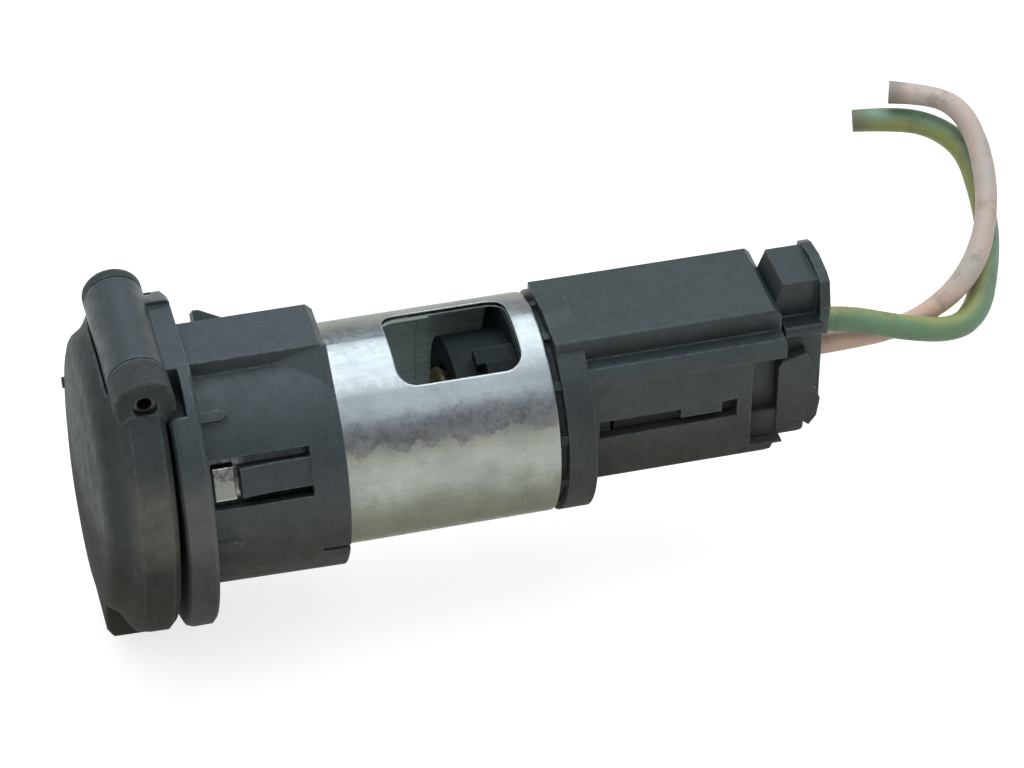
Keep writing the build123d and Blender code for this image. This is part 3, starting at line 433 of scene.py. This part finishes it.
def wire_insulation(name, plug_end_colour, clean, worn, tracer, dirt, tracer_width, tracer_start, tracer_turns):
    """Soft insulation with a slowly turning tracer, faded patches, dirt in blotches and a slightly waxy skin.

    Near the plug it has a colour of its own, and its cut end is dirty."""
    material, shader = new_finish(name)
    place = on_object(material)
    unrolled = parts_of(material, "UV")
    sway = (tracer_start - 0.05, tracer_start + 0.05)
    wander = step(material, grain(material, place, 160, 2), 0.3, 0.7, *sway)
    turned = reckon(material, "MULTIPLY_ADD", unrolled["X"], tracer_turns, wander)
    shifted = reckon(material, "ADD", unrolled["Y"], turned)
    from_tracer = reckon(material, "PINGPONG", shifted, 0.5)
    stripe = step(material, from_tracer, tracer_width, 0.35 * tracer_width)
    near_plug = step(material, unrolled["X"], 0.42, 0.25)
    cut_end = step(material, unrolled["X"], 0.965, 0.995)
    patches = step(material, grain(material, place, 240, 4), 0.35, 0.72)
    blotches = step(material, grain(material, place, 420, 5, 0.7), 0.5, 0.7)
    specks = step(material, grain(material, place, 2200, 2, 0.5), 0.68, 0.75)
    colour = tint(material, patches, clean, worn)
    colour = tint(material, near_plug, colour, plug_end_colour)
    colour = tint(material, stripe, colour, tracer)
    colour = layer(material, colour, blotches, 0.5, dirt)
    colour = layer(material, colour, specks, 0.5, shade(dirt, 0.5))
    colour = layer(material, colour, cut_end, 0.75, dirt)
    fill(material, shader.inputs["Base Color"], colour)
    rough = step(material, grain(material, place, 700, 4), 0.3, 0.7, 0.42, 0.66)
    fill(material, shader.inputs["Roughness"], rough)
    dents = relief(material, grain(material, place, 380, 3), 0.00012)
    skin = relief(material, grain(material, place, 3000, 3), 0.000015, dents)
    fill(material, shader.inputs["Normal"], skin)
    return material


def lay_wire(name, route, diameter, material):
    """A cut lead: a NURBS line with the route's points as its control points, as thick as the real wire.

    Each row of the route is a place in millimetres and how many times its diameter the wire is thick there,
    where it was squeezed or bent."""
    curve = bpy.data.curves.new(name + "_line", "CURVE")
    curve.dimensions = "3D"
    curve.bevel_depth = diameter / 2
    curve.bevel_resolution = 8
    curve.resolution_u = 12
    curve.use_fill_caps = True
    spline = curve.splines.new("NURBS")
    spline.points.add(len(route) - 1)
    for point, (*place, thickness) in zip(spline.points, route):
        point.co = (*(0.001 * part for part in place), 1.0)
        point.radius = thickness
    spline.order_u = 3
    spline.use_endpoint_u = True
    curve.materials.append(material)
    wire = bpy.data.objects.new(name + "_lead", curve)
    bpy.context.collection.objects.link(wire)
    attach(wire, "socket")
    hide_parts(name)
    return wire


green_diameter, green_length = 0.0026, 0.057
green_route = [
    (0.0, 62.0, 5.0, 1.0),
    (0.0, 69.0, 5.0, 1.0),
    (1.7, 76.2, 3.1, 1.03),
    (1.8, 82.2, 1.7, 1.0),
    (-0.4, 85.4, 2.2, 1.14),
    (-3.6, 87.2, 4.5, 1.12),
    (-7.2, 88.7, 6.9, 0.98),
    (-11.4, 89.0, 9.6, 0.97),
    (-15.3, 88.6, 12.6, 1.05),
    (-18.3, 85.5, 14.2, 0.98),
    (-20.0, 81.5, 14.4, 1.02),
    (-21.0, 77.6, 14.1, 0.93),
]
green_insulation = wire_insulation(
    "green_insulation",
    plug_end_colour=(0.13, 0.215, 0.11),
    clean=(0.12, 0.2, 0.12),
    worn=(0.2, 0.28, 0.19),
    tracer=(0.25, 0.265, 0.08),
    dirt=(0.12, 0.11, 0.06),
    tracer_width=0.27,
    tracer_start=0.9,
    tracer_turns=0.1,
)
green_lead = lay_wire("green_wire", green_route, green_diameter, green_insulation)

pink_diameter, pink_length = 0.0023, 0.0512
pink_route = [
    (0.0, 62.0, 1.4, 1.0),
    (0.0, 69.0, 1.4, 1.0),
    (-0.7, 76.0, 1.1, 0.97),
    (-1.0, 79.9, 2.4, 0.92),
    (-1.4, 83.2, 4.6, 1.08),
    (-3.2, 86.0, 7.0, 1.12),
    (-6.2, 87.9, 9.6, 0.97),
    (-9.6, 88.9, 12.1, 1.06),
    (-13.3, 89.1, 14.7, 1.0),
    (-16.6, 88.1, 16.9, 1.05),
    (-18.8, 85.4, 17.7, 0.93),
    (-20.4, 81.3, 17.6, 1.08),
]
pink_insulation = wire_insulation(
    "pink_insulation",
    plug_end_colour=(0.62, 0.4, 0.3),
    clean=(0.54, 0.39, 0.33),
    worn=(0.46, 0.39, 0.34),
    tracer=(0.54, 0.39, 0.34),
    dirt=(0.2, 0.165, 0.14),
    tracer_width=0.1,
    tracer_start=0.0,
    tracer_turns=0.5,
)
pink_lead = lay_wire("pink_wire", pink_route, pink_diameter, pink_insulation)

# Studio: a pale floor just under the lid's thumb tab, a wide soft lamp overhead, a weaker one from the left,
# and a plain grey room that is darker at the height where the photograph's barrel mirrors its dark band.
floor_height = -0.0205
floor_half = 3.0
floor_colour = (0.5, 0.49, 0.475, 1.0)
floor_glow = (0.72, 0.72, 0.7, 1.0)
floor_corners = [(-1, -1), (1, -1), (1, 1), (-1, 1)]
floor_points = [(floor_half * x, floor_half * y, floor_height) for x, y in floor_corners]
floor_mesh = bpy.data.meshes.new("studio_floor")
floor_mesh.from_pydata(floor_points, [], [(0, 1, 2, 3)])
floor = bpy.data.objects.new("studio_floor", floor_mesh)
bpy.context.collection.objects.link(floor)
floor_finish, floor_shader = new_finish("studio_floor")
floor_shader.inputs["Base Color"].default_value = floor_colour
floor_shader.inputs["Roughness"].default_value = 0.9
floor_shader.inputs["Specular IOR Level"].default_value = 0.0
floor_shader.inputs["Emission Color"].default_value = floor_glow
rays = node(floor_finish, "LightPath").outputs
seen = reckon(floor_finish, "MAXIMUM", rays["Is Camera Ray"], rays["Is Glossy Ray"])
seen = reckon(floor_finish, "MAXIMUM", seen, rays["Is Transmission Ray"])
fill(floor_finish, floor_shader.inputs["Emission Strength"], seen)
floor_mesh.materials.append(floor_finish)

# The room's colours from straight down, at 0, to straight up, at 1.
room_shades = [
    (0.0, (1.1, 1.06, 0.98)),
    (0.56, (1.1, 1.06, 0.98)),
    (0.63, (0.52, 0.56, 0.6)),
    (0.81, (0.46, 0.51, 0.57)),
    (0.89, (1.3, 1.5, 1.6)),
    (1.0, (0.85, 0.95, 1.02)),
]
room = bpy.data.worlds.new("studio_room")
bpy.context.scene.world = room
room.use_nodes = True
background = room.node_tree.nodes["Background"]
background.inputs["Strength"].default_value = 1.0
heights = node(room, "MapRange")
heights.inputs[1].default_value = -1.0
fill(room, heights.inputs[0], parts_of(room, "Generated")["Z"])
shades = node(room, "ValToRGB")
fill(room, shades.inputs[0], heights.outputs[0])
fill(room, background.inputs["Color"], shades.outputs[0])
for position, _ in room_shades[2:]:
    shades.color_ramp.elements.new(position)
for element, (position, colour) in zip(shades.color_ramp.elements, room_shades):
    element.position = position
    element.color = (*colour, 1.0)


def soft_lamp(name, place, target, size, power, colour):
    """A rectangular lamp at a place, turned to face a target, with its sizes in metres and power in watts."""
    lamp = bpy.data.lights.new(name, "AREA")
    lamp.shape = "RECTANGLE"
    lamp.size, lamp.size_y = size
    lamp.energy = power
    lamp.color = colour
    stand = bpy.data.objects.new(name, lamp)
    stand.location = place
    stand.rotation_euler = (Vector(place) - Vector(target)).to_track_quat("Z", "Y").to_euler()
    bpy.context.collection.objects.link(stand)


soft_lamp(
    "overhead_lamp",
    place=(-0.2, 0.12, 0.62),
    target=(0.0, 0.03, 0.0),
    size=(0.5, 0.72),
    power=2.1,
    colour=(0.83, 0.93, 1.0),
)
soft_lamp(
    "left_lamp",
    place=(-0.15, -0.6, 0.45),
    target=(0.0, 0.02, 0.0),
    size=(0.3, 0.3),
    power=0.15,
    colour=(1.0, 0.99, 0.97),
)

# Camera: set back 400 mm at the photograph's own viewing angle, and level. Its place, the way it faces and
# its lens were found from the outlines of the barrel, the flange, the hinge and the window.
camera_place = (0.3015, -0.04395, 0.2502)
camera_back = (0.7578, -0.1965, 0.6222)
focal_length, sensor_width, nearest = 135.28, 36.0, 0.01
lens = bpy.data.cameras.new("photo_camera")
lens.lens = focal_length
lens.sensor_width = sensor_width
lens.clip_start = nearest
camera = bpy.data.objects.new("photo_camera", lens)
camera.location = camera_place
camera.rotation_euler = Vector(camera_back).to_track_quat("Z", "Y").to_euler()
bpy.context.collection.objects.link(camera)
bpy.context.scene.camera = camera
bpy.context.scene.view_settings.view_transform = "Standard"
